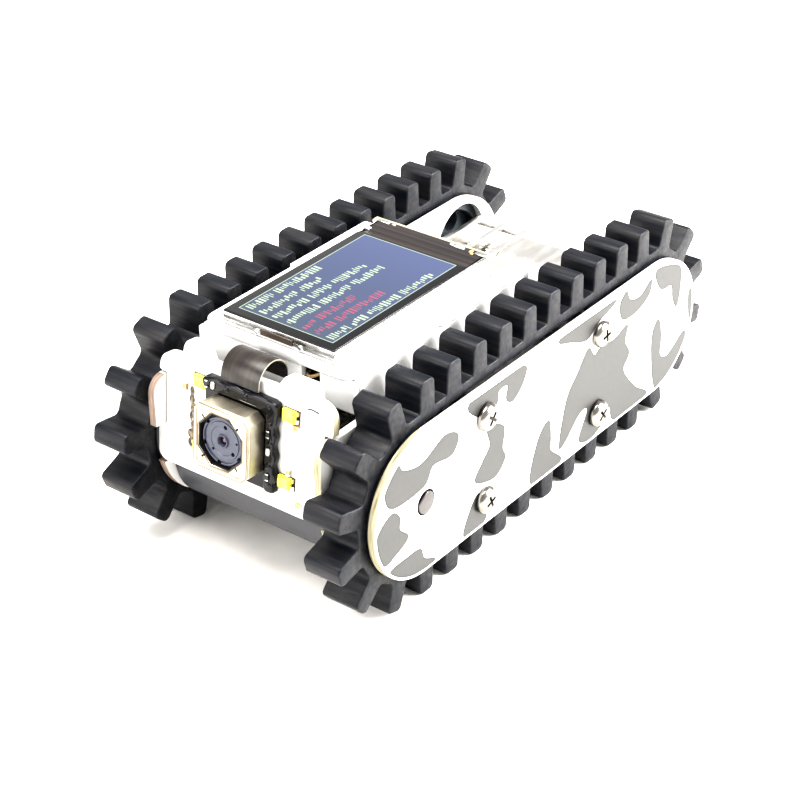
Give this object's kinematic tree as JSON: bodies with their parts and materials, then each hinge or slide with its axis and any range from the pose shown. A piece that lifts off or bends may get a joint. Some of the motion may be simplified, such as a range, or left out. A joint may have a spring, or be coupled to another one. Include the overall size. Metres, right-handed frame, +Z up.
{
  "type": "tracked robot chassis",
  "caption": "Miniature tracked robot chassis with rubber lug tracks between board side plates, a tilted front camera panel and a display on the deck.",
  "frame": {"origin": "on the floor under the centre of the bounding box", "axes": "+Z up, the front with the camera faces -Y, +X to the vehicle's left"},
  "size_m": [0.044, 0.0826, 0.0323],
  "materials": {
    "white_board": "white solder mask over fibreglass board",
    "printed_board": "white solder mask with a grey camouflage print",
    "rubber": "moulded rubber, satin",
    "steel": "plain nickel-plated steel",
    "brass": "pale brass-coloured plate",
    "grey_cover": "dark grey, matte",
    "black_plastic": "black, matte",
    "display_glass": "glossy cover over a lit blue screen",
    "ribbon": "dark polyimide film",
    "led": "yellow phosphor",
    "foil": "satin foil pouch"
  },
  "bodies": {
    "chassis": {"left_track_belt": "rubber", "left_outer_plate": "printed_board", "left_inner_plate": "white_board", "left_side_wall": "white_board", "left_idler_axle": "steel", "left_motor_can": "steel", "left_motor_gearbox": "steel", "left_lower_front_spacer": "steel", "left_lower_front_screw": "steel", "left_upper_front_spacer": "steel", "left_upper_front_screw": "steel", "left_lower_rear_spacer": "steel", "left_lower_rear_screw": "steel", "left_upper_rear_spacer": "steel", "left_upper_rear_screw": "steel", "right_track_belt": "rubber", "right_outer_plate": "printed_board", "right_inner_plate": "white_board", "right_side_wall": "white_board", "right_idler_axle": "steel", "right_motor_can": "steel", "right_motor_gearbox": "steel", "right_lower_front_spacer": "steel", "right_lower_front_screw": "steel", "right_upper_front_spacer": "steel", "right_upper_front_screw": "steel", "right_lower_rear_spacer": "steel", "right_lower_rear_screw": "steel", "right_upper_rear_spacer": "steel", "right_upper_rear_screw": "steel", "top_board": "white_board", "front_wall": "white_board", "rear_wall": "white_board", "base_board": "white_board", "rear_board": "white_board", "front_panel": "white_board", "front_motor_cover": "grey_cover", "rear_motor_cover": "grey_cover", "battery_pouch": "foil", "controller_board": "black_plastic", "camera_board": "black_plastic", "usb_socket": "steel", "switch_body": "steel", "display_frame": "steel", "display_glass": "display_glass", "display_flex": "ribbon", "camera_ribbon": "ribbon", "camera_can": "brass", "upper_left_led": "led", "upper_right_led": "led", "lower_left_led": "led", "lower_right_led": "led"},
    "left_drive": {"left_drive_drum": "black_plastic", "left_drive_shaft": "steel"},
    "left_idler": {"left_idler_wheel": "black_plastic"},
    "right_drive": {"right_drive_drum": "black_plastic", "right_drive_shaft": "steel"},
    "right_idler": {"right_idler_wheel": "black_plastic"},
    "lens": {"lens_barrel": "black_plastic"},
    "power_slider": {"switch_slider": "black_plastic"}
  },
  "joints": [
    {"name": "left_drive_spin", "type": "hinge", "parent": "chassis", "child": "left_drive", "pos_m": [0.0167, -0.0262, 0.01504], "axis": [1, 0, 0], "continuous": true},
    {"name": "left_idler_spin", "type": "hinge", "parent": "chassis", "child": "left_idler", "pos_m": [0.0167, 0.0262, 0.01504], "axis": [1, 0, 0], "continuous": true},
    {"name": "right_drive_spin", "type": "hinge", "parent": "chassis", "child": "right_drive", "pos_m": [-0.0167, 0.0262, 0.01504], "axis": [1, 0, 0], "continuous": true},
    {"name": "right_idler_spin", "type": "hinge", "parent": "chassis", "child": "right_idler", "pos_m": [-0.0167, -0.0262, 0.01504], "axis": [1, 0, 0], "continuous": true},
    {"name": "lens_focus", "type": "slide", "parent": "chassis", "child": "lens", "axis": [0, -0.9945, 0.1045], "range_m": [0, 0.0003]},
    {"name": "power_switch_slide", "type": "slide", "parent": "chassis", "child": "power_slider", "axis": [1, 0, 0], "range_m": [0, 0.0019]}
  ]
}
